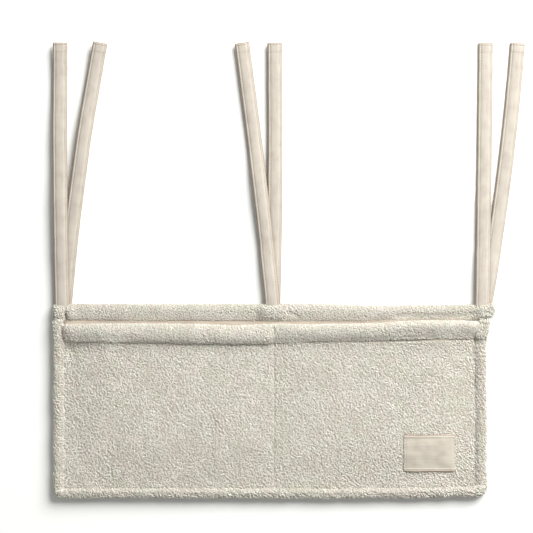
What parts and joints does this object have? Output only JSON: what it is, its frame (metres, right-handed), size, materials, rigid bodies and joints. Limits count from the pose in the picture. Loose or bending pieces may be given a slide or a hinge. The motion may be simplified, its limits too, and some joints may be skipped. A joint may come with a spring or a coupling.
{
  "type": "crib organizer",
  "caption": "Flat cloth organizer with open pockets side by side, hung from a crib rail by pairs of cotton ties.",
  "frame": {"origin": "middle of the back panel's rear face, on which the organizer lies", "axes": "+X to the right seen from the front, +Y from the bottom edge towards the ties, +Z out of the pockets' front"},
  "size_m": [0.5991, 0.578, 0.0188],
  "materials": {
    "boucle": "cream looped pile (boucle) cloth, matt, loops 2 to 4 mm long",
    "binding": "the same cream looped pile cloth rolled over the edges",
    "lining": "plain cream cotton, matt",
    "label_tape": "woven cotton tape, unprinted",
    "tie_cotton": "cream cotton straps, folded and edge stitched, matt",
    "thread": "cream sewing thread"
  },
  "bodies": {
    "panel": {"back_panel": "boucle", "top_hem": "boucle", "pocket_front": "boucle", "left_edge_binding": "binding", "right_edge_binding": "binding", "bottom_edge_binding": "binding", "back_lining": "lining", "pocket_lining": "lining", "label": "label_tape", "front_tie_root_left": "tie_cotton", "back_tie_root_left": "tie_cotton", "front_tie_root_centre": "tie_cotton", "back_tie_root_centre": "tie_cotton", "front_tie_root_right": "tie_cotton", "back_tie_root_right": "tie_cotton", "top_hem_stitching": "thread", "left_edge_stitching": "thread", "right_edge_stitching": "thread", "bottom_edge_stitching": "thread", "pocket_hem_stitching": "thread", "divider_stitching": "thread", "label_stitching": "thread", "left_tie_tack": "thread", "centre_tie_tack": "thread", "right_tie_tack": "thread"},
    "front_tie_left": {"front_tie_left": "tie_cotton", "front_tie_stitching_left": "thread"},
    "back_tie_left": {"back_tie_left": "tie_cotton", "back_tie_stitching_left": "thread"},
    "front_tie_centre": {"front_tie_centre": "tie_cotton", "front_tie_stitching_centre": "thread"},
    "back_tie_centre": {"back_tie_centre": "tie_cotton", "back_tie_stitching_centre": "thread"},
    "front_tie_right": {"front_tie_right": "tie_cotton", "front_tie_stitching_right": "thread"},
    "back_tie_right": {"back_tie_right": "tie_cotton", "back_tie_stitching_right": "thread"}
  },
  "joints": [
    {"name": "front_tie_left_fold", "type": "hinge", "parent": "panel", "child": "front_tie_left", "pos_m": [-0.26454, 0.144, 0.00695], "axis": [1, 0, 0], "range_deg": [0, 165]},
    {"name": "back_tie_left_fold", "type": "hinge", "parent": "panel", "child": "back_tie_left", "pos_m": [-0.25867, 0.144, 0.0029], "axis": [1, 0, 0], "range_deg": [-165, 0]},
    {"name": "front_tie_centre_fold", "type": "hinge", "parent": "panel", "child": "front_tie_centre", "pos_m": [0.00104, 0.144, 0.00695], "axis": [1, 0, 0], "range_deg": [0, 165]},
    {"name": "back_tie_centre_fold", "type": "hinge", "parent": "panel", "child": "back_tie_centre", "pos_m": [0.00429, 0.144, 0.0029], "axis": [1, 0, 0], "range_deg": [-165, 0]},
    {"name": "front_tie_right_fold", "type": "hinge", "parent": "panel", "child": "front_tie_right", "pos_m": [0.27029, 0.144, 0.00695], "axis": [1, 0, 0], "range_deg": [0, 165]},
    {"name": "back_tie_right_fold", "type": "hinge", "parent": "panel", "child": "back_tie_right", "pos_m": [0.27633, 0.144, 0.0029], "axis": [1, 0, 0], "range_deg": [-165, 0]}
  ]
}
